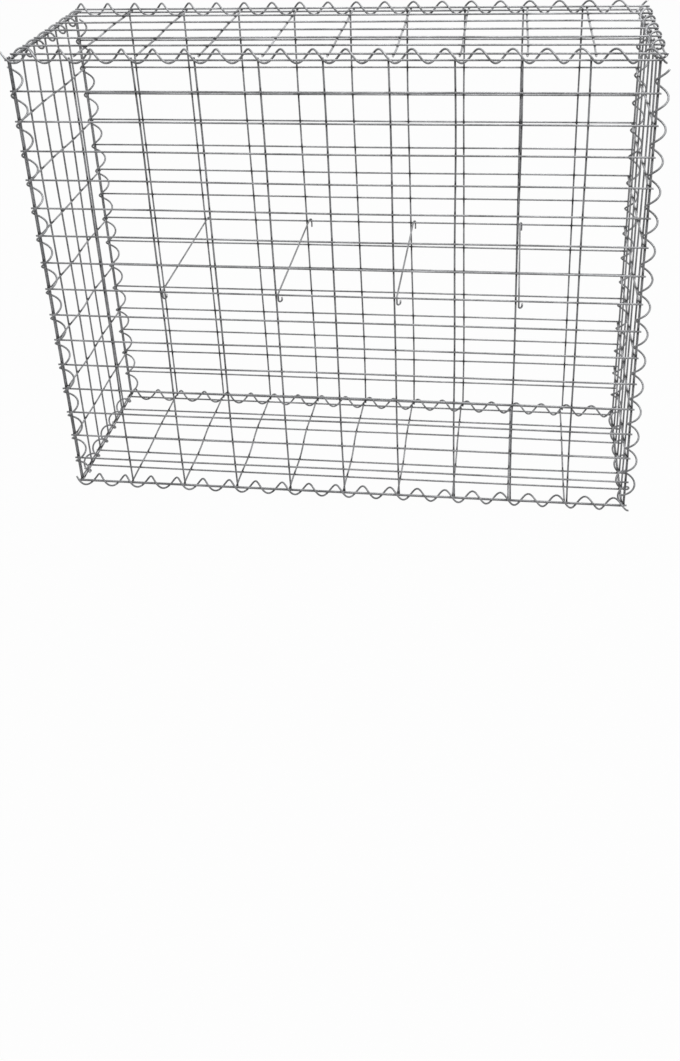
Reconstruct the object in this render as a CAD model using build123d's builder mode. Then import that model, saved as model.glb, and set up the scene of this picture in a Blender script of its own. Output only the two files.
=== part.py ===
"""Empty welded-mesh gabion basket, laced along its twelve edges with spiral binders.

Six flat mesh panels make a box 1000 long, 800 high and about 300 deep. Four hooked ties
cross the inside at half height and keep the front and back panels from bulging.
Millimetres, Z up, front towards -Y, origin under the middle on the floor.
"""
import os
from math import ceil, cos, pi, radians, sin, sqrt

from build123d import *

os.makedirs("parts", exist_ok=True)

# Mesh: wires 50 apart one way and 100 the other, cut to whole meshes
close_pitch = 50.0
wide_pitch = 2 * close_pitch
meshes_long = 10
meshes_high = 8
meshes_deep = 6

# Wires: each bar is a six-sided bar with the area of the round wire
mesh_wire = 3.2
spiral_wire = 3.4
tie_wire = 3.0
overhang = 5.0
hexagon_share = sqrt(pi / (2 * sqrt(3)))

# Spiral binders, one turn to a mesh, bent in short straight steps
spiral_pitch = close_pitch
spiral_radius = 10.5
steps_each_turn = 8
spiral_end = 8.0
seat_gap = 0.3
corner_gap = 1.0

# Where the edge wires lie in the spirals, in shares of the room round the spiral's axis
inset_share = 1.13
rise_share = 0.99
end_share = 0.29
lid_shift_share = 1.13
base_shift_share = -0.62

# Where each spiral passes through a panel, in shares of a mesh past a crossing wire
quarter = 0.25
past_lid_wires = 0.12
past_left_base_wires = 0.17
past_right_base_wires = 0.70
past_front_left_wires = 0.02
past_front_right_wires = 0.60
past_back_left_wires = 0.68
past_back_right_wires = 0.52

# Ties, one beside every second upright between the ends
tie_every = 2 * wide_pitch
tie_side_step = 5.0
hook_drop = 8.0
hook_bend = 3.4
hook_turn = 35.0
hook_tip = 4.0
tail_drop = 15.0

# Sizes that follow
mesh_across = mesh_wire * hexagon_share
spiral_across = spiral_wire * hexagon_share
tie_across = tie_wire * hexagon_share
corner_share = 1 / cos(radians(30))
half_bar = mesh_across / 2
bar_corner = half_bar * corner_share
step_share = cos(pi / steps_each_turn)
step_corner = 2 * spiral_radius / (1 + step_share)
spiral_outer = step_corner + spiral_across / 2 * corner_share / step_share
seat_radius = step_corner * step_share - spiral_across / 2 * corner_share - bar_corner - seat_gap
tie_hold = bar_corner + tie_across / 2 * corner_share + seat_gap

inset = inset_share * seat_radius
rise = rise_share * seat_radius
end_inset = end_share * seat_radius
lid_shift = lid_shift_share * seat_radius
base_shift = base_shift_share * seat_radius

length = meshes_long * wide_pitch
height = meshes_high * wide_pitch
panel_depth = meshes_deep * close_pitch
depth = panel_depth + 2 * inset

X = Vector(1, 0, 0)
Y = Vector(0, 1, 0)
Z = Vector(0, 0, 1)


def spiral_axis(wire, other, toward):
    """Point on the axis of the spiral that holds two edge wires, each at its seat."""
    half = (other - wire) / 2
    along = half.cross(toward).normalized()
    aside = along.cross(half).normalized()
    return wire + half + aside * sqrt(seat_radius**2 - half.length**2)


# The basket rests on the underside of its lowest spiral, and the panels lie in the spirals
long_seat = spiral_axis(Vector(0, -half_bar, 0), Vector(0, inset, -rise - half_bar), Z)
short_seat = spiral_axis(Vector(-end_inset - half_bar, 0, 0), Vector(base_shift, 0, half_bar - rise), X)
low = spiral_outer - min(long_seat.Z, short_seat.Z)
high = low + height
left = -length / 2 - (lid_shift + base_shift) / 2
right = left + length
front = -depth / 2
back = depth / 2
lid_level = high + rise
base_level = low - rise
left_end = left + end_inset
right_end = right - end_inset


def mesh_panel(label, corner, run, run_length, rise_way, rise_length):
    """Flat panel: bars along run lie outside, bars along rise_way inside, fused where they cross."""
    outward = run.cross(rise_way)
    outer_meshes = round(rise_length / close_pitch)
    inner_meshes = round(run_length / wide_pitch)
    outer_start = corner + outward * half_bar - run * overhang
    inner_start = corner - outward * half_bar - rise_way * overhang
    with BuildPart() as panel:
        with BuildSketch(Plane(origin=outer_start, x_dir=rise_way, z_dir=run)):
            with Locations([(rise_length * i / outer_meshes, 0) for i in range(outer_meshes + 1)]):
                RegularPolygon(half_bar, 6, major_radius=False)
        extrude(amount=run_length + 2 * overhang)
        with BuildSketch(Plane(origin=inner_start, x_dir=run, z_dir=rise_way)):
            with Locations([(run_length * i / inner_meshes, 0) for i in range(inner_meshes + 1)]):
                RegularPolygon(half_bar, 6, major_radius=False)
        extrude(amount=rise_length + 2 * overhang)
    panel.part.label = label
    export_step(panel.part, f"parts/{label}.step")


def spiral_binder(label, start, along, span, facing, facing_at):
    """Right-handed spiral from start along its axis, that points to facing at facing_at."""
    turn = -360 * facing_at / spiral_pitch
    first = facing.rotate(Axis((0, 0, 0), along), turn)
    steps = ceil(steps_each_turn * span / spiral_pitch)
    rise = span / steps
    angle = 2 * pi * rise / spiral_pitch
    corners = [(step_corner * cos(angle * i), step_corner * sin(angle * i), rise * i)
               for i in range(steps + 1)]
    with BuildPart() as binder:
        with BuildLine() as path:
            Polyline(*corners)
        with BuildSketch(Plane(origin=path.line @ 0, x_dir=X, z_dir=path.line % 0)):
            RegularPolygon(spiral_across / 2, 6, major_radius=False, rotation=30)
        sweep(transition=Transition.RIGHT)
    binder.part.locate(Location(Plane(origin=start, x_dir=first, z_dir=along)))
    binder.part.label = label
    export_step(binder.part, f"parts/{label}.step")


mesh_panel("front_panel", Vector(left, front, low), X, length, Z, height)
mesh_panel("back_panel", Vector(right, back, low), -X, length, Z, height)
mesh_panel("left_end_panel", Vector(left_end, front + inset, low), Z, height, Y, panel_depth)
mesh_panel("right_end_panel", Vector(right_end, back - inset, low), Z, height, -Y, panel_depth)
mesh_panel("lid_panel", Vector(left + lid_shift, front + inset, lid_level), X, length, Y, panel_depth)
mesh_panel("base_panel", Vector(left + base_shift, back - inset, base_level), X, length, -Y, panel_depth)

# Long spirals run past both ends, and the short and upright ones stop clear of them
long_start = left - spiral_end
long_span = length + 2 * spiral_end
deep_start = front + long_seat.Y + spiral_outer + corner_gap
deep_span = -2 * deep_start
tall_start = low + spiral_outer
tall_span = height - 2 * spiral_outer
past_long_end = spiral_end + quarter * close_pitch
past_short_end = inset + front - deep_start

for side, face, outward, turn in (("front", front, -1, 0), ("back", back, 1, 2)):
    wire_y = face + outward * half_bar
    inner_y = face - outward * inset
    top_wire = Vector(long_start, wire_y, high)
    lid_wire = Vector(long_start, inner_y, lid_level + half_bar)
    bottom_wire = Vector(long_start, wire_y, low)
    base_wire = Vector(long_start, inner_y, base_level - half_bar)
    top_at = past_long_end + turn * quarter * close_pitch
    bottom_at = past_long_end + (2 - turn) * quarter * close_pitch
    top_axis = spiral_axis(top_wire, lid_wire, Z)
    bottom_axis = spiral_axis(bottom_wire, base_wire, Z)
    spiral_binder(f"top_{side}_spiral", top_axis, X, long_span, -Z, top_at)
    spiral_binder(f"bottom_{side}_spiral", bottom_axis, X, long_span, Z, bottom_at)


for label, panel_x, end_wire_x, outward, share in (
    ("front_left_spiral", left, left_end - half_bar, -1, past_front_left_wires),
    ("front_right_spiral", right, right_end + half_bar, -1, past_front_right_wires),
    ("back_left_spiral", left, left_end - half_bar, 1, past_back_left_wires),
    ("back_right_spiral", right, right_end + half_bar, 1, past_back_right_wires),
):
    upright = Vector(panel_x, outward * (back - half_bar), tall_start)
    end_upright = Vector(end_wire_x, outward * (back - inset), tall_start)
    axis = spiral_axis(upright, end_upright, X)
    facing_at = low + share * close_pitch - tall_start
    spiral_binder(label, axis, Z, tall_span, Y * outward, facing_at)

top_left_axis = spiral_axis(
    Vector(left_end + half_bar, deep_start, high),
    Vector(left + lid_shift, deep_start, lid_level - half_bar), -Z)
top_right_axis = spiral_axis(
    Vector(right_end - half_bar, deep_start, high),
    Vector(right + lid_shift, deep_start, lid_level - half_bar), Z)
bottom_left_axis = spiral_axis(
    Vector(left_end + half_bar, deep_start, low),
    Vector(left + base_shift, deep_start, base_level + half_bar), Z)
bottom_right_axis = spiral_axis(
    Vector(right_end - half_bar, deep_start, low),
    Vector(right + base_shift, deep_start, base_level + half_bar), X)
for label, axis, facing, share in (
    ("top_left_spiral", top_left_axis, -Z, past_lid_wires),
    ("top_right_spiral", top_right_axis, -Z, 2 * quarter),
    ("bottom_left_spiral", bottom_left_axis, Z, past_left_base_wires),
    ("bottom_right_spiral", bottom_right_axis, Z, past_right_base_wires),
):
    spiral_binder(label, axis, Y, deep_span, facing, past_short_end + share * close_pitch)


def tie(label, x):
    """Wire from front to back, hooked over the middle bar of each panel."""
    bar_z = low + height / 2
    run_z = bar_z + tie_hold
    front_bar = front - half_bar
    back_bar = back + half_bar
    lean = tie_hold * cos(radians(45))
    drop_z = bar_z - hook_drop
    across = Vector(cos(radians(hook_turn)), sin(radians(hook_turn)), 0) * hook_bend
    hook_top = Vector(x, front_bar - tie_hold, bar_z)
    hook_low = Vector(x, front_bar - tie_hold, drop_z)
    hook_back = hook_low + across * 2
    tip = hook_back + Z * hook_tip
    tail_top = Vector(x, back_bar + tie_hold, bar_z)
    with BuildPart() as wire:
        with BuildLine() as path:
            Line(tip, hook_back)
            ThreePointArc(hook_back, hook_low + across - Z * hook_bend, hook_low)
            Line(hook_low, hook_top)
            ThreePointArc(hook_top, (x, front_bar - lean, bar_z + lean), (x, front_bar, run_z))
            Line((x, front_bar, run_z), (x, back_bar, run_z))
            ThreePointArc((x, back_bar, run_z), (x, back_bar + lean, bar_z + lean), tail_top)
            Line(tail_top, tail_top - Z * tail_drop)
        with BuildSketch(Plane(origin=tip, x_dir=X, z_dir=-Z)):
            RegularPolygon(tie_across / 2, 6, major_radius=False)
        sweep()
    wire.part.label = label
    export_step(wire.part, f"parts/{label}.step")


for i in range(1, round(length / tie_every)):
    tie(f"tie_{i}", left + i * tie_every + tie_side_step)
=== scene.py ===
"""Finish of the empty gabion basket: welded mesh, laced spirals, hooked ties and the studio.

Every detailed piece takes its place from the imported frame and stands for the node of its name.
Metres, Z up, front towards -Y.
"""
from math import cos, pi, radians, sin, tau
from random import Random

import bmesh
import bpy
from bpy.props import FloatProperty, FloatVectorProperty, IntProperty, PointerProperty
from bpy.types import Operator, Panel, PropertyGroup
from mathutils import Matrix, Vector


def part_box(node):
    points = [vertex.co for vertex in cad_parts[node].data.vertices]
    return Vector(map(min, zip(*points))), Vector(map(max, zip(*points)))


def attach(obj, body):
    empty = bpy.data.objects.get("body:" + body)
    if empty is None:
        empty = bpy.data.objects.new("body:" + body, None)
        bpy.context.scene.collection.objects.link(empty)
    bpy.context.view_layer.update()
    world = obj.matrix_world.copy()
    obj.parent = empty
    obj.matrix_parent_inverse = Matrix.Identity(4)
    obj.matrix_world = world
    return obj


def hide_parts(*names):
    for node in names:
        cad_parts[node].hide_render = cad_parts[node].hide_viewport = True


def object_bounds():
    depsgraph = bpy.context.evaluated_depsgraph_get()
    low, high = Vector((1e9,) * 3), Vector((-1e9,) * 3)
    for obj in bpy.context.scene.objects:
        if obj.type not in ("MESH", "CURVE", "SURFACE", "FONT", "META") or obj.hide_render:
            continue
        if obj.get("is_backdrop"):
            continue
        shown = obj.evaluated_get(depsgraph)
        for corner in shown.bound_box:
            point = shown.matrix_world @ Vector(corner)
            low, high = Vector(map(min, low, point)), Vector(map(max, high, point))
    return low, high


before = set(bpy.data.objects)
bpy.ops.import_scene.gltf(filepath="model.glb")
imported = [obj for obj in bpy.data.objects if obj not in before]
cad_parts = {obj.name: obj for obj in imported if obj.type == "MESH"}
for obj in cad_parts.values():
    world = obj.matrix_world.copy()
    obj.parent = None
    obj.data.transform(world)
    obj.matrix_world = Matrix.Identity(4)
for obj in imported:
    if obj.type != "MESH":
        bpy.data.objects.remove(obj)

bl_info = {
    "name": "Gabion basket finish",
    "version": (1, 0, 0),
    "blender": (4, 5, 0),
    "location": "View3D > Sidebar > Gabion",
    "description": "Round galvanised wire, spirals and ties for an empty gabion basket",
    "category": "Object",
}

X = Vector((1, 0, 0))
Y = Vector((0, 1, 0))
Z = Vector((0, 0, 1))
MM = 0.001

# Mesh panels: the outer wires run the first way, the inner wires the second
PANELS = {
    "front_panel": (X, Z),
    "back_panel": (-X, Z),
    "left_end_panel": (Z, Y),
    "right_end_panel": (Z, -Y),
    "lid_panel": (X, Y),
    "base_panel": (X, -Y),
}
LAYERS = 2
OUTER_SPACING = 50 * MM
INNER_SPACING = 100 * MM
OVERHANG = 5 * MM

# Spirals by the way they run, with the length of a turn and how deep a node's cut end is read
SPIRALS = {
    "top_front_spiral": X,
    "top_back_spiral": X,
    "bottom_front_spiral": X,
    "bottom_back_spiral": X,
    "top_left_spiral": Y,
    "top_right_spiral": Y,
    "bottom_left_spiral": Y,
    "bottom_right_spiral": Y,
    "front_left_spiral": Z,
    "front_right_spiral": Z,
    "back_left_spiral": Z,
    "back_right_spiral": Z,
}
SPIRAL_PITCH = 50 * MM
SPIRAL_END_DEPTH = 4 * MM

# Ties, with the room between a tie and the bar that it holds, and beside it in its node's box
TIES = ("tie_1", "tie_2", "tie_3", "tie_4")
TIE_CLEAR = 0.2 * MM
TIE_SIDE_ROOM = 0.1 * MM

# Sides of every wire, steps of the spirals, and steps of a tie's bends and of its run
WIRE_SIDES = 10
STEPS_EACH_TURN = 24
HOOK_STEPS = 10
BAR_STEPS = 8
RUN_STEPS = 8
TURN_STEPS = 4

# Rings of a mesh wire: how far from a weld and how dark, from scorched zinc and painted shade, and in
# shares of the way to the next
WELD_RINGS = ((-8.0 * MM, 0.1), (-4.4 * MM, 0.9), (0.0, 1.0), (4.4 * MM, 0.9), (8.0 * MM, 0.1))
PLAIN_RINGS = (0.3, 0.5, 0.7)
# Share of the darkening near welds on each layer: scorched zinc on both, plus painted shade on the inner
# wires, which lie behind the outer ones and take the full share
OUTER_SCORCH_AND_SHADE = 0.35
INNER_SCORCH_AND_SHADE = 1.0

# Sheared ends: length of the pinched tip, stretch with no ring but the tip's, and flatness
CUT_DEPTH = 0.9 * MM
CUT_CLEAR = 2.6 * MM
CUT_PINCH = 0.62

# Weld beads, in shares of the wire's radius
BEAD_WIDTHS = (1.35, 1.6)
BEAD_THICKNESSES = (0.55, 0.8)
BEAD_SUBDIVISIONS = 2

# Waves that a panel is bent by: how many halves along its outer and along its inner wires
WAVES_ALONG_RUN = (1, 2, 3)
WAVES_ALONG_RISE = (2, 4)

# Zinc of each slot: size of its spangle, size of its patches, and how pale it is
ZINC = {
    "galvanised_mesh": (3.5 * MM, 70 * MM, 0.42),
    "galvanised_spiral": (3.0 * MM, 40 * MM, 0.36),
    "galvanised_tie": (3.0 * MM, 60 * MM, 0.25),
}
NOISE_MIDDLE = 0.5
SPANGLE_MIDDLE = 0.4
GRAINS_IN_SPANGLE = 6

# How much each pattern shows in the zinc's colour, its darkening near welds (scorched zinc and painted
# shade), roughness and height
PATCH_COLOUR = 1.9
SPANGLE_COLOUR = 0.45
GRAIN_COLOUR = 0.5
WELD_SCORCH_AND_SHADE = 0.85
GRAIN_SCORCH_AND_SHADE = 0.6
PATCH_ROUGHNESS = 0.3
GRAIN_ROUGHNESS = 0.2
WELD_ROUGHNESS = 0.25
GRAIN_HEIGHT = 0.6
SPANGLE_HEIGHT = 0.4
WELD_HEIGHT = 1.5
BUMP_STRENGTH = 0.35
BUMP_DEPTH = 0.25 * MM

# Sockets of a Mix node that mixes colours
MIX_SHARE = 0
MIX_FIRST = 6
MIX_SECOND = 7
MIX_COLOUR = 2

# Studio: the floor, the light overhead, and the width of the camera's film in millimetres
WHITE = (1, 1, 1, 1)
FLOOR_RADIUS = 14
FLOOR_SIDES = 96
FLOOR_ROUGHNESS = 0.9
FLOOR_SPECULAR = 0.1
LIGHT_PLACE = Vector((0.8, -0.4, 2.9))
LIGHT_AIM = Vector((0, 0, 0.4))
LIGHT_SIZE = (3.4, 2.6)
FILM_WIDTH = 36.0


class WireSizes(PropertyGroup):
    """Sizes of the wire and of its small faults."""

    mesh_wire: FloatProperty(name="Mesh wire", description="Thickness of the mesh wire",
                             default=3.2 * MM, unit="LENGTH")
    spiral_wire: FloatProperty(name="Spiral wire", description="Thickness of the spiral binders' wire",
                               default=3.4 * MM, unit="LENGTH")
    tie_wire: FloatProperty(name="Tie wire", description="Thickness of the ties' wire",
                            default=3.0 * MM, unit="LENGTH")
    spiral_radius: FloatProperty(name="Spiral radius", description="From the axis to the wire's middle",
                                 default=10.5 * MM, unit="LENGTH")
    bow: FloatProperty(name="Bow", description="How far a panel bows in or out between its edges",
                       default=2.2 * MM, unit="LENGTH")
    stray: FloatProperty(name="Stray", description="How far a wire strays sideways within its panel",
                         default=1.3 * MM, unit="LENGTH")
    uneven_cut: FloatProperty(name="Uneven cut", description="Most that a wire's end falls short",
                              default=1.2 * MM, unit="LENGTH")
    seed: IntProperty(name="Seed", description="Draw of the small faults", default=7)


class TieShape(PropertyGroup):
    """Bends of the ties: a hook at the front and a tail at the back."""

    hook_drop: FloatProperty(name="Hook drop", description="From the bar down to the hook's bend",
                             default=8 * MM, unit="LENGTH")
    hook_bend: FloatProperty(name="Hook bend", description="Radius of the hook's bend",
                             default=3.4 * MM, unit="LENGTH")
    hook_turn: FloatProperty(name="Hook turn", description="How far the hook is turned inwards",
                             default=radians(35), subtype="ANGLE")
    hook_tip: FloatProperty(name="Hook tip", description="Straight tip past the hook's bend",
                            default=4 * MM, unit="LENGTH")
    tail_turn: FloatProperty(name="Tail turn", description="How far the wire turns aside at the back bar",
                             default=radians(30), subtype="ANGLE")
    tail_bend: FloatProperty(name="Tail bend", description="Radius of the turn before the back bar",
                             default=8 * MM, unit="LENGTH")
    tail_drop: FloatProperty(name="Tail drop", description="Length of the tail behind the bar",
                             default=13 * MM, unit="LENGTH")


class ZincLook(PropertyGroup):
    """Colours and sheen of the galvanised wire."""

    dark_zinc: FloatVectorProperty(name="Dark zinc", description="Dull patches of the zinc", size=3,
                                   default=(0.15, 0.152, 0.157), subtype="COLOR", min=0, max=1)
    light_zinc: FloatVectorProperty(name="Light zinc", description="Bright patches of the zinc", size=3,
                                    default=(0.5, 0.505, 0.52), subtype="COLOR", min=0, max=1)
    # Dark colour near welds: scorched zinc, and painted shade where one wire lies behind another
    weld_scorch_and_shade_colour: FloatVectorProperty(name="Weld", description="Scorched zinc round a weld", size=3,
                                   default=(0.03, 0.03, 0.031), subtype="COLOR", min=0, max=1)
    cut_steel: FloatVectorProperty(name="Cut end", description="Sheared end of a wire", size=3,
                                   default=(0.75, 0.75, 0.76), subtype="COLOR", min=0, max=1)
    metallic: FloatProperty(name="Metallic", description="Share of the surface that is bare metal",
                            default=0.25, min=0, max=1, subtype="FACTOR")
    specular: FloatProperty(name="Specular", description="Strength of the shine of the dull zinc",
                            default=0.3, min=0, max=1, subtype="FACTOR")
    roughness: FloatProperty(name="Roughness", description="Mean roughness of the zinc",
                             default=0.42, min=0, max=1, subtype="FACTOR")


class StudioLook(PropertyGroup):
    """Floor, light and camera of the studio."""

    floor_colour: FloatVectorProperty(name="Floor", description="Colour of the studio floor", size=3,
                                      default=(0.2, 0.2, 0.2), subtype="COLOR", min=0, max=1)
    floor_glow: FloatProperty(name="Floor glow", description="Share of white in the floor that is seen",
                              default=0.98, min=0, max=1, subtype="FACTOR")
    overhead: FloatProperty(name="Overhead", description="Strength of the even light straight overhead",
                            default=0.3, min=0, max=1, subtype="FACTOR")
    top_power: FloatProperty(name="Top light", description="Power of the large light overhead",
                             default=98.0, unit="POWER")
    camera_place: FloatVectorProperty(name="Camera place", description="Where the camera stands",
                                      size=3, default=(0.2926, -1.8651, 1.2855),
                                      subtype="TRANSLATION", unit="LENGTH")
    camera_aim: FloatVectorProperty(name="Camera aim", description="Point that the camera looks at",
                                    size=3, default=(0.0225, 0.0, 0.3173),
                                    subtype="TRANSLATION", unit="LENGTH")
    camera_roll: FloatProperty(name="Camera roll", description="How far the camera leans to one side",
                               default=radians(2.237), subtype="ANGLE")
    focal_length: FloatProperty(name="Focal length", description="Focal length of the camera",
                                default=39.397, unit="CAMERA")
    shift_across: FloatProperty(name="Shift across", description="Sideways shift of the frame",
                                default=-0.02143)
    shift_up: FloatProperty(name="Shift up", description="Upward shift of the frame", default=-0.21166)


class Signal:
    """A shader socket that takes part in an expression; each operator adds a Math node."""

    def __init__(self, tree, socket):
        self.tree = tree
        self.socket = socket

    def maths(self, operation, *terms, clamp=False):
        """Math node over these terms, in order."""
        settings = {"operation": operation, "use_clamp": clamp}
        return put(self.tree, "ShaderNodeMath", settings, dict(enumerate(terms)))

    def __add__(self, other):
        return self.maths("ADD", self, other)

    def __radd__(self, other):
        return self.maths("ADD", other, self)

    def __sub__(self, other):
        return self.maths("SUBTRACT", self, other)

    def __rsub__(self, other):
        return self.maths("SUBTRACT", other, self)

    def __mul__(self, other):
        return self.maths("MULTIPLY", self, other)

    def __rmul__(self, other):
        return self.maths("MULTIPLY", other, self)

    def clamped(self):
        """The same value, kept between 0 and 1."""
        return self.maths("ADD", self, 0.0, clamp=True)


def put(tree, kind, settings=None, sockets=None, output=0):
    """Node of a kind with its settings first and then its sockets; gives one output as a Signal."""
    node = tree.nodes.new(kind)
    for name, value in (settings or {}).items():
        setattr(node, name, value)
    for name, value in (sockets or {}).items():
        if isinstance(value, Signal):
            tree.links.new(value.socket, node.inputs[name])
        else:
            node.inputs[name].default_value = value
    return Signal(tree, node.outputs[output])


def mixed(tree, share, first, second):
    """Colour between two colours."""
    return put(tree, "ShaderNodeMix", {"data_type": "RGBA"},
               {MIX_SHARE: share, MIX_FIRST: first, MIX_SECOND: second}, output=MIX_COLOUR)


def opaque(colour):
    """Colour of a property with full alpha."""
    return (*colour, 1.0)


def seen_rays(tree):
    """1 where the backdrop is seen, by the camera or in metal, and 0 where it lights."""
    camera, glossy, through = (put(tree, "ShaderNodeLightPath", output=name)
                               for name in ("Is Camera Ray", "Is Glossy Ray", "Is Transmission Ray"))
    return (camera + glossy + through).clamped()


def galvanised(slot):
    """Dull zinc: soft patches, fine spangle, welds darkened by scorched zinc and by painted shade, and
    bright cut ends.
    """
    spangle_size, patch_size, tone = ZINC[slot]
    look = bpy.context.scene.gabion_zinc
    material = bpy.data.materials.new(slot)
    material.use_nodes = True
    tree = material.node_tree
    shader = tree.nodes["Principled BSDF"]
    place = put(tree, "ShaderNodeTexCoord", output="Object")
    patches = put(tree, "ShaderNodeTexNoise", {},
                  {"Vector": place, "Scale": 1 / patch_size, "Detail": 3.0, "Roughness": 0.6})
    spangle = put(tree, "ShaderNodeTexVoronoi", {}, {"Vector": place, "Scale": 1 / spangle_size})
    grain = put(tree, "ShaderNodeTexNoise", {},
                {"Vector": place, "Scale": GRAINS_IN_SPANGLE / spangle_size})
    weld = put(tree, "ShaderNodeAttribute", {"attribute_name": "weld"}, output="Fac")
    cut = put(tree, "ShaderNodeAttribute", {"attribute_name": "cut"}, output="Fac")
    patch_swing = patches - NOISE_MIDDLE
    grain_swing = grain - NOISE_MIDDLE
    spangle_swing = spangle - SPANGLE_MIDDLE
    share = (patch_swing * PATCH_COLOUR + spangle_swing * SPANGLE_COLOUR
             + grain_swing * GRAIN_COLOUR + tone)
    # Darkening near welds: scorched zinc, and painted shade on the wires that lie behind
    scorch_and_shade = weld * WELD_SCORCH_AND_SHADE + weld * grain_swing * GRAIN_SCORCH_AND_SHADE
    zinc = mixed(tree, share.clamped(), opaque(look.dark_zinc), opaque(look.light_zinc))
    scorched_and_shaded = mixed(tree, scorch_and_shade.clamped(), zinc, opaque(look.weld_scorch_and_shade_colour))
    colour = mixed(tree, cut, scorched_and_shaded, opaque(look.cut_steel))
    roughness = (patch_swing * PATCH_ROUGHNESS + grain_swing * GRAIN_ROUGHNESS
                 + weld * WELD_ROUGHNESS + look.roughness)
    height = grain * GRAIN_HEIGHT + spangle * SPANGLE_HEIGHT + weld * grain * WELD_HEIGHT
    bump = put(tree, "ShaderNodeBump", {},
               {"Height": height, "Strength": BUMP_STRENGTH, "Distance": BUMP_DEPTH})
    tree.links.new(colour.socket, shader.inputs["Base Color"])
    tree.links.new(roughness.clamped().socket, shader.inputs["Roughness"])
    tree.links.new(bump.socket, shader.inputs["Normal"])
    shader.inputs["Metallic"].default_value = look.metallic
    shader.inputs["Specular IOR Level"].default_value = look.specular
    return material


class DrawnWire:
    """Round wire drawn out from its first cut end, ring after ring."""

    def __init__(self, bm, start, direction, radius):
        self.bm = bm
        self.weld = bm.verts.layers.float.get("weld") or bm.verts.layers.float.new("weld")
        self.cut = bm.verts.layers.float.get("cut") or bm.verts.layers.float.new("cut")
        self.basis = direction.to_track_quat("Z", "Y").to_matrix().to_4x4()
        place = Matrix.Translation(start) @ self.basis
        made = bmesh.ops.create_circle(bm, cap_ends=True, segments=WIRE_SIDES, radius=radius,
                                       matrix=place)
        self.verts = made["verts"]
        self.edges = list({edge for vert in self.verts for edge in vert.link_edges})
        self.first_ring = self.verts

    def take_ring(self, geometry):
        """Keep the newest ring as the one to draw on from."""
        self.verts = [item for item in geometry if isinstance(item, bmesh.types.BMVert)]
        newest = set(self.verts)
        self.edges = [edge for edge in geometry
                      if isinstance(edge, bmesh.types.BMEdge) and newest.issuperset(edge.verts)]

    def pinch(self, share):
        """Squeeze the newest ring flat along its own first axis."""
        centre = sum((vert.co for vert in self.verts), Vector()) / len(self.verts)
        space = (Matrix.Translation(centre) @ self.basis).inverted()
        bmesh.ops.scale(self.bm, vec=(share, 1, 1), space=space, verts=self.verts)

    def forward(self, step, weld=0.0):
        """Draw the wire straight on by a step."""
        made = bmesh.ops.extrude_edge_only(self.bm, edges=self.edges)
        self.take_ring(made["geom"])
        bmesh.ops.translate(self.bm, vec=step, verts=self.verts)
        for vert in self.verts:
            vert[self.weld] = weld

    def bend(self, centre, axis, angle, steps, advance=None):
        """Draw the wire on round an axis, and along it by an advance at each step."""
        made = bmesh.ops.spin(self.bm, geom=self.verts + self.edges, cent=centre, axis=axis, angle=angle,
                              steps=steps, dvec=advance or Vector(), use_duplicate=False)
        self.take_ring(made["geom_last"])

    def finish(self):
        """Close the wire with its second cut end, and mark both ends as cut."""
        bmesh.ops.contextual_create(self.bm, geom=self.edges)
        for vert in (*self.first_ring, *self.verts):
            vert[self.cut] = 1.0


def mesh_of(name, bm):
    """Mesh of a finished shape, which is then let go."""
    mesh = bpy.data.meshes.new(name)
    bm.to_mesh(mesh)
    bm.free()
    return mesh


def stand(name, data):
    """Object of this mesh, light or camera, put into the scene."""
    item = bpy.data.objects.new(name, data)
    bpy.context.scene.collection.objects.link(item)
    return item


def copy_in(bm, mesh, place):
    """Copy a mesh into the piece at a place; gives its new points in their order."""
    count = len(bm.verts)
    bm.from_mesh(mesh)
    bm.verts.ensure_lookup_table()
    fresh = bm.verts[count:]
    bmesh.ops.transform(bm, matrix=place, verts=fresh)
    return fresh


def wire_rings(length, spacing, scorch_and_shade_share):
    """How far along a straight wire each ring past its first tip lies, and how dark it is near a weld,
    from scorched zinc and painted shade.
    """
    rings = []
    for number in range(round((length - 2 * OVERHANG) / spacing) + 1):
        weld_at = OVERHANG + number * spacing
        rings.extend((weld_at + offset, scorch_and_shade_level * scorch_and_shade_share) for offset, scorch_and_shade_level in WELD_RINGS)
        rings.extend((weld_at + share * spacing, 0.0) for share in PLAIN_RINGS)
    clear = [ring for ring in rings if CUT_CLEAR < ring[0] < length - CUT_CLEAR]
    return [*clear, (length - CUT_DEPTH, 0.0)]


def straight_wire(run, length, spacing, radius, scorch_and_shade_share):
    """Straight wire from the origin, with a cut at both ends and a weld at every spacing."""
    bm = bmesh.new()
    wire = DrawnWire(bm, Vector(), run, radius)
    wire.pinch(CUT_PINCH)
    wire.forward(run * CUT_DEPTH)
    wire.pinch(1 / CUT_PINCH)
    reached = CUT_DEPTH
    for place, scorch_and_shade_level in wire_rings(length, spacing, scorch_and_shade_share):
        wire.forward(run * (place - reached), scorch_and_shade_level)
        reached = place
    wire.forward(run * CUT_DEPTH)
    wire.pinch(CUT_PINCH)
    wire.finish()
    return mesh_of("copied_wire", bm)


def lay_wires(bm, mesh, starts, run, draw, uneven_cut):
    """Copies of a wire from each start, whose ends, of two rings each, fall short by a little."""
    cut_points = 2 * WIRE_SIDES
    for start in starts:
        points = copy_in(bm, mesh, Matrix.Translation(start))
        for ends, way in ((points[:cut_points], run), (points[-cut_points:], -run)):
            short = draw.uniform(0, uneven_cut)
            for point in ends:
                point.co += way * short
    bpy.data.meshes.remove(mesh)


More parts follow.
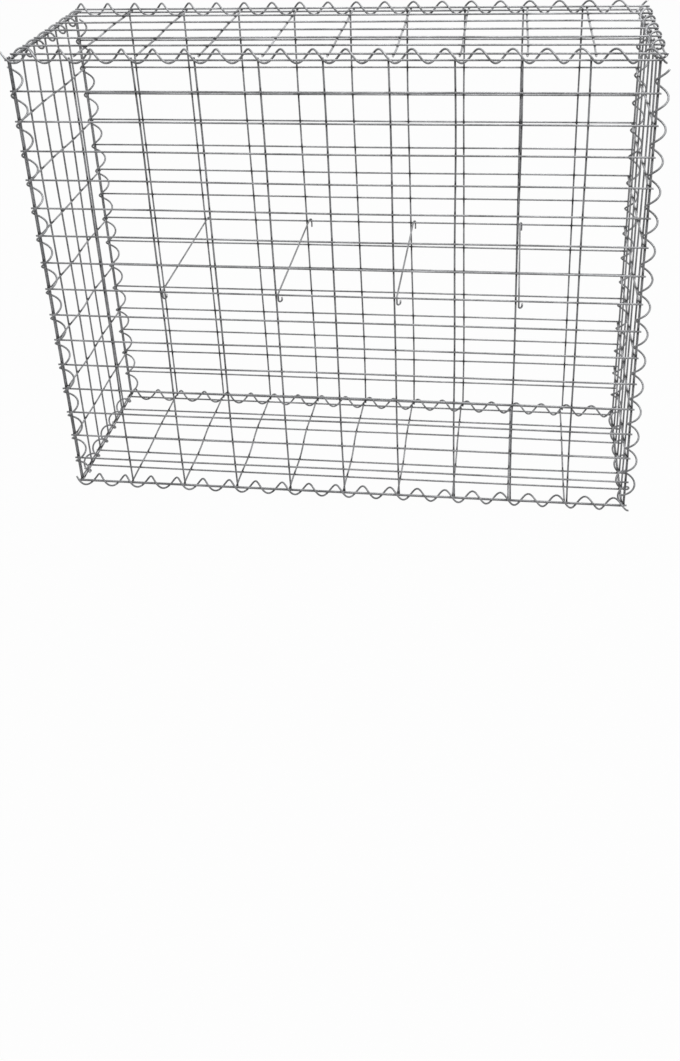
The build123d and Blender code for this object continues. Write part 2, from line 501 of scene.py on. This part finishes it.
def lay_beads(bm, places, outward, radius, draw):
    """Small flattened beads of metal where wires cross."""
    bead_bm = bmesh.new()
    bmesh.ops.create_icosphere(bead_bm, subdivisions=BEAD_SUBDIVISIONS, radius=radius)
    scorch_and_shade_level = bead_bm.verts.layers.float.new("weld")
    for vert in bead_bm.verts:
        vert[scorch_and_shade_level] = 1.0
    bead = mesh_of("copied_bead", bead_bm)
    basis = outward.to_track_quat("Z", "Y").to_matrix().to_4x4()
    for place in places:
        width = draw.uniform(*BEAD_WIDTHS)
        squash = Matrix.Diagonal((width, width, draw.uniform(*BEAD_THICKNESSES), 1))
        copy_in(bm, bead, Matrix.Translation(place) @ basis @ squash)
    bpy.data.meshes.remove(bead)


def panel_faults(draw, bow, stray):
    """Waves that a panel is bent by, the short ones less: their halves and how far they move it."""
    waves = []
    for across in WAVES_ALONG_RUN:
        for up in WAVES_ALONG_RISE:
            share = 1 / (across + up / 2 - 1)
            waves.append((across, up, draw.uniform(-1, 1) * stray * share,
                          draw.uniform(-1, 1) * stray * share, draw.uniform(-1, 1) * bow * share))
    return waves


def bend_panel(bm, corner, run, run_length, rise, rise_length, waves):
    """Move every point by the waves, which are still along the edges and at half height."""
    outward = run.cross(rise)
    for vert in bm.verts:
        from_corner = vert.co - corner
        u = min(max(from_corner.dot(run) / run_length, 0), 1)
        v = min(max(from_corner.dot(rise) / rise_length, 0), 1)
        move = Vector()
        for across, up, along_run, along_rise, out in waves:
            wave = sin(across * pi * u) * sin(up * pi * v)
            move += (run * along_run + rise * along_rise + outward * out) * wave
        vert.co += move


def hand_in(bm, node, material):
    """Make the piece, smooth but for its cut ends, and let it stand for its node."""
    bmesh.ops.recalc_face_normals(bm, faces=bm.faces)
    for face in bm.faces:
        face.smooth = len(face.verts) < WIRE_SIDES
    name = f"{node}_wire"
    mesh = mesh_of(name, bm)
    mesh.materials.append(material)
    piece = stand(name, mesh)
    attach(piece, "root")
    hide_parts(node)


def length_along(size, way):
    """Size of a box along one of the axes."""
    return abs(size.dot(way))


class GABION_OT_mesh_panels(Operator):
    """Weld the six mesh panels of round wire"""

    bl_idname = "gabion.mesh_panels"
    bl_label = "Mesh panels"

    def execute(self, context):
        sizes = context.scene.gabion_wire
        material = galvanised("galvanised_mesh")
        for number, (node, (run, rise)) in enumerate(PANELS.items()):
            self.weld_panel(node, run, rise, sizes, Random(sizes.seed + number), material)
        return {"FINISHED"}

    def weld_panel(self, node, run, rise, sizes, draw, material):
        """One flat panel of two layers of wire, welded where they cross."""
        low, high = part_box(node)
        centre = (low + high) / 2
        size = high - low
        outward = run.cross(rise)
        run_length = length_along(size, run) - 2 * OVERHANG
        rise_length = length_along(size, rise) - 2 * OVERHANG
        layer = outward * length_along(size, outward) / (2 * LAYERS)
        corner = centre - run * run_length / 2 - rise * rise_length / 2
        radius = sizes.mesh_wire / 2
        along = [run * (i * INNER_SPACING) for i in range(round(run_length / INNER_SPACING) + 1)]
        up = [rise * (j * OUTER_SPACING) for j in range(round(rise_length / OUTER_SPACING) + 1)]
        bm = bmesh.new()
        outer = straight_wire(run, run_length + 2 * OVERHANG, INNER_SPACING, radius, OUTER_SCORCH_AND_SHADE)
        starts = [corner + layer + step - run * OVERHANG for step in up]
        lay_wires(bm, outer, starts, run, draw, sizes.uneven_cut)
        # The inner wires take the full painted shade near each weld
        inner = straight_wire(rise, rise_length + 2 * OVERHANG, OUTER_SPACING, radius, INNER_SCORCH_AND_SHADE)
        starts = [corner - layer + step - rise * OVERHANG for step in along]
        lay_wires(bm, inner, starts, rise, draw, sizes.uneven_cut)
        crossings = [corner + step + other for step in along for other in up]
        lay_beads(bm, crossings, outward, radius, draw)
        waves = panel_faults(draw, sizes.bow, sizes.stray)
        bend_panel(bm, corner, run, run_length, rise, rise_length, waves)
        hand_in(bm, node, material)


class GABION_OT_spiral_binders(Operator):
    """Wind the twelve spirals that lace the panels together"""

    bl_idname = "gabion.spiral_binders"
    bl_label = "Spiral binders"

    def execute(self, context):
        sizes = context.scene.gabion_wire
        material = galvanised("galvanised_spiral")
        for node, along in SPIRALS.items():
            self.wind(node, along, sizes, material)
        return {"FINISHED"}

    def wind(self, node, along, sizes, material):
        """One right-handed spiral between the two ends of its node."""
        low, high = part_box(node)
        centre = (low + high) / 2
        points = [vert.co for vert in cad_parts[node].data.vertices]
        first = self.end_middle(points, along, low.dot(along), 1)
        last = self.end_middle(points, along, high.dot(along), -1)
        span = (last - first).dot(along)
        axis_start = centre + along * (first - centre).dot(along)
        spoke = (first - axis_start).normalized()
        start = axis_start + spoke * sizes.spiral_radius
        tangent = (along.cross(spoke) * tau * sizes.spiral_radius + along * SPIRAL_PITCH).normalized()
        steps = round(span / SPIRAL_PITCH * STEPS_EACH_TURN)
        angle = tau * span / SPIRAL_PITCH
        bm = bmesh.new()
        wire = DrawnWire(bm, start, tangent, sizes.spiral_wire / 2)
        wire.bend(axis_start, along, angle, steps, along * span / steps)
        wire.finish()
        hand_in(bm, node, material)

    def end_middle(self, points, along, end, inward):
        """Middle of the cut end of a node's wire at one end of its run."""
        near = [point for point in points
                if 0 <= (point.dot(along) - end) * inward < SPIRAL_END_DEPTH]
        return sum(near, Vector()) / len(near)


class GABION_OT_ties(Operator):
    """Bend the four hooked ties between the front and back panels"""

    bl_idname = "gabion.ties"
    bl_label = "Ties"

    def execute(self, context):
        sizes = context.scene.gabion_wire
        shape = context.scene.gabion_tie
        material = galvanised("galvanised_tie")
        for node in TIES:
            self.bend_tie(node, sizes, shape, material)
        return {"FINISHED"}

    def bend_tie(self, node, sizes, shape, material):
        """One wire hooked over the middle bar of the front panel and of the back panel."""
        front_low, front_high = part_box("front_panel")
        back_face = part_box("back_panel")[1].y
        half_bar = (front_high.y - front_low.y) / (2 * LAYERS)
        radius = sizes.tie_wire / 2
        hold = radius + sizes.mesh_wire / 2 + TIE_CLEAR
        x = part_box(node)[0].x + radius + TIE_SIDE_ROOM
        front_bar = Vector((x, front_low.y + half_bar, (front_low.z + front_high.z) / 2))
        back_bar = Vector((x, back_face - half_bar, front_bar.z))
        across = Vector((cos(shape.hook_turn), sin(shape.hook_turn), 0))
        hook_top = front_bar - Y * hold
        hook_low = hook_top - Z * shape.hook_drop
        bend_centre = hook_low + across * shape.hook_bend
        tip = bend_centre + across * shape.hook_bend + Z * shape.hook_tip
        tail_way = Vector((sin(shape.tail_turn), cos(shape.tail_turn), 0))
        tail_hold = hold / cos(shape.tail_turn)
        turn_start = back_bar + Vector((0, -shape.tail_bend * sin(shape.tail_turn), hold))
        turn_centre = turn_start + X * shape.tail_bend
        bm = bmesh.new()
        wire = DrawnWire(bm, tip, -Z, radius)
        wire.forward(-Z * shape.hook_tip)
        wire.bend(bend_centre, Z.cross(across), pi, HOOK_STEPS)
        wire.forward(Z * shape.hook_drop)
        wire.bend(front_bar, X, -pi / 2, BAR_STEPS)
        run = turn_start.y - front_bar.y
        for _ in range(RUN_STEPS):
            wire.forward(Y * run / RUN_STEPS)
        wire.bend(turn_centre, Z, -shape.tail_turn, TURN_STEPS)
        over_bar = turn_centre - X * shape.tail_bend * cos(shape.tail_turn)
        over_bar += Y * shape.tail_bend * sin(shape.tail_turn)
        wire.bend(over_bar - Z * tail_hold, tail_way.cross(Z), -pi / 2, BAR_STEPS)
        wire.forward(-Z * shape.tail_drop)
        wire.finish()
        hand_in(bm, node, material)


class GABION_OT_studio(Operator):
    """Set the floor, the world, the light and the camera"""

    bl_idname = "gabion.studio"
    bl_label = "Studio"

    def execute(self, context):
        scene = context.scene
        scene.view_settings.view_transform = "Standard"
        look = scene.gabion_studio
        self.lay_floor(look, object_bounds()[0].z)
        self.light_world(scene, look)
        self.hang_light(look.top_power)
        self.place_camera(scene, look)
        return {"FINISHED"}

    def lay_floor(self, look, level):
        """Wide pale floor that keeps the shadow."""
        bm = bmesh.new()
        bmesh.ops.create_circle(bm, cap_ends=True, segments=FLOOR_SIDES, radius=FLOOR_RADIUS,
                                matrix=Matrix.Translation((0, 0, level)))
        mesh = mesh_of("studio_floor", bm)
        mesh.materials.append(self.floor_material(look))
        stand("studio_floor", mesh)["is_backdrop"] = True

    def floor_material(self, look):
        """Grey floor that is nearly white where it is seen."""
        material = bpy.data.materials.new("studio_floor")
        material.use_nodes = True
        tree = material.node_tree
        shader = tree.nodes["Principled BSDF"]
        shader.inputs["Roughness"].default_value = FLOOR_ROUGHNESS
        shader.inputs["Specular IOR Level"].default_value = FLOOR_SPECULAR
        shader.inputs["Base Color"].default_value = opaque(look.floor_colour)
        grey = Signal(tree, shader.outputs["BSDF"])
        glow = put(tree, "ShaderNodeEmission", {}, {"Color": WHITE, "Strength": 1.0})
        share = seen_rays(tree) * look.floor_glow
        both = put(tree, "ShaderNodeMixShader", {}, {0: share, 1: grey, 2: glow})
        tree.links.new(both.socket, tree.nodes["Material Output"].inputs["Surface"])
        return material

    def light_world(self, scene, look):
        """Soft light that fades from overhead to the horizon, white where it is seen."""
        world = bpy.data.worlds.new("studio_world")
        scene.world = world
        world.use_nodes = True
        tree = world.node_tree
        seen = seen_rays(tree)
        direction = put(tree, "ShaderNodeTexCoord", output="Generated")
        upward = put(tree, "ShaderNodeSeparateXYZ", {}, {"Vector": direction}, output="Z")
        sky = (upward * look.overhead).clamped()
        strength = seen + (1 - seen) * sky
        backdrop = tree.nodes["Background"]
        backdrop.inputs["Color"].default_value = WHITE
        tree.links.new(strength.socket, backdrop.inputs["Strength"])

    def hang_light(self, power):
        """Large soft light overhead, that looks at the basket."""
        lamp = bpy.data.lights.new("top_light", "AREA")
        lamp.shape = "RECTANGLE"
        lamp.size, lamp.size_y = LIGHT_SIZE
        lamp.energy = power
        holder = stand("top_light", lamp)
        holder.location = LIGHT_PLACE
        holder.rotation_mode = "QUATERNION"
        holder.rotation_quaternion = (LIGHT_AIM - LIGHT_PLACE).to_track_quat("-Z", "Y")

    def place_camera(self, scene, look):
        """Camera at the photograph's place, tilt and framing."""
        data = bpy.data.cameras.new("camera")
        data.sensor_width = FILM_WIDTH
        data.lens = look.focal_length
        data.shift_x = look.shift_across
        data.shift_y = look.shift_up
        place = Vector(look.camera_place)
        gaze = (Vector(look.camera_aim) - place).normalized()
        level = gaze.to_track_quat("-Z", "Y").to_matrix()
        lean = Matrix.Rotation(look.camera_roll, 3, gaze)
        camera = stand("camera", data)
        camera.location = place
        camera.rotation_mode = "QUATERNION"
        camera.rotation_quaternion = (lean @ level).to_quaternion()
        scene.camera = camera


class GABION_PT_sidebar(Panel):
    """Sidebar panel that lists the pieces and the studio"""

    bl_idname = "GABION_PT_sidebar"
    bl_label = "Gabion basket"
    bl_space_type = "VIEW_3D"
    bl_region_type = "UI"
    bl_category = "Gabion"

    def draw(self, context):
        layout = self.layout
        for setting in SETTINGS:
            group = getattr(context.scene, setting)
            column = layout.column()
            for name in group.__annotations__:
                column.prop(group, name)
        for operator in OPERATORS:
            layout.operator(operator.bl_idname)


SETTINGS = {
    "gabion_wire": WireSizes,
    "gabion_tie": TieShape,
    "gabion_zinc": ZincLook,
    "gabion_studio": StudioLook,
}
OPERATORS = (GABION_OT_mesh_panels, GABION_OT_spiral_binders, GABION_OT_ties, GABION_OT_studio)
CLASSES = (*SETTINGS.values(), *OPERATORS, GABION_PT_sidebar)


def register():
    """Register every class and hang the settings on the scene."""
    for item in CLASSES:
        bpy.utils.register_class(item)
    for setting, group in SETTINGS.items():
        setattr(bpy.types.Scene, setting, PointerProperty(type=group))


def unregister():
    """Take the settings and the classes away again."""
    for setting in SETTINGS:
        delattr(bpy.types.Scene, setting)
    for item in reversed(CLASSES):
        bpy.utils.unregister_class(item)


def main():
    """Build every piece and the stage."""
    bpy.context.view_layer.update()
    register()
    bpy.ops.gabion.mesh_panels()
    bpy.ops.gabion.spiral_binders()
    bpy.ops.gabion.ties()
    bpy.ops.gabion.studio()


if __name__ == "__main__":
    main()
